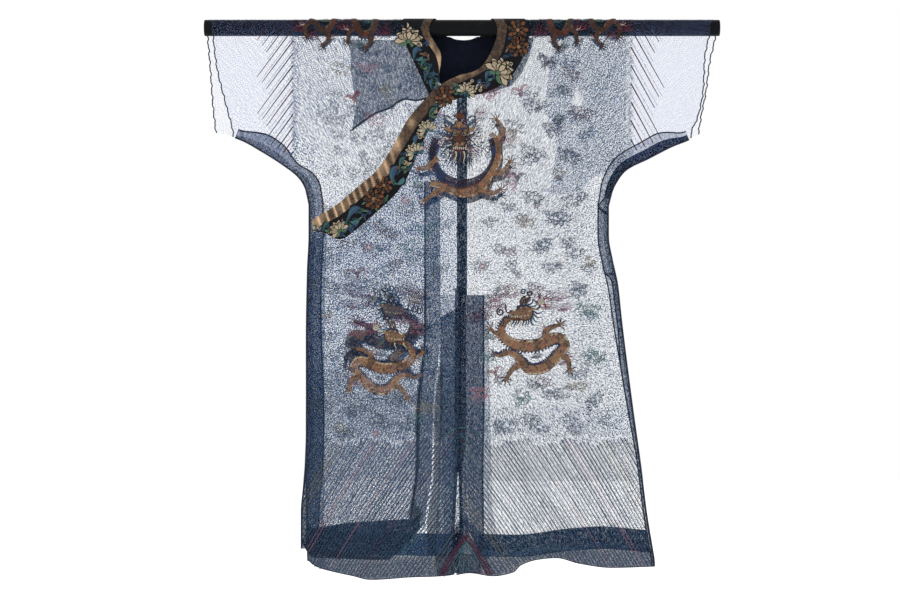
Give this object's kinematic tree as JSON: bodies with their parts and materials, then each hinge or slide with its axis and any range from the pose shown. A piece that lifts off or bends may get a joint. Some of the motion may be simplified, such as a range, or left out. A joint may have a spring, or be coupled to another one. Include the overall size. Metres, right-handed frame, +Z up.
{
  "type": "dragon robe on hanging rod",
  "caption": "See-through gauze dragon robe with a crossed front and banded collar, hung flat over a round rod that passes through its sleeves.",
  "frame": {"origin": "middle of the hanging rod's axis, where the rod is held", "axes": "+X along the rod towards the wearer's left sleeve, -Y towards the viewer of the robe's front, +Z up"},
  "size_m": [1.298, 0.0599, 1.4098],
  "materials": {
    "lacquered_rod": "black lacquer",
    "gauze": "open silk gauze, embroidered in counted stitch",
    "facing": "dark silk gauze",
    "lining": "navy silk",
    "collar_band": "black satin with flower embroidery",
    "brocade": "gold brocade"
  },
  "bodies": {
    "root": {"rod": "lacquered_rod", "left_half": "gauze", "right_half": "gauze", "front_overlap": "gauze", "collar_outer": "collar_band", "collar_back": "collar_band", "collar_inner": "collar_band", "edging_outer": "brocade", "edging_back": "brocade", "edging_inner": "brocade", "neck_lining_back": "lining", "neck_facing_front": "facing", "inner_flap_corner": "facing", "centre_front_seam": "facing", "centre_back_seam": "facing", "side_facing_right_front": "facing", "side_facing_right_back": "facing", "side_facing_left_front": "facing", "side_facing_left_back": "facing", "side_facing_overlap": "facing", "hem_facing_under_flap": "facing", "hem_facing_right_back": "facing", "hem_facing_left_back": "facing", "edge_facing_under_flap": "facing", "vent_facing_front_left": "facing", "vent_facing_front_right": "facing", "vent_facing_back_left": "facing", "vent_facing_back_right": "facing"}
  },
  "joints": []
}
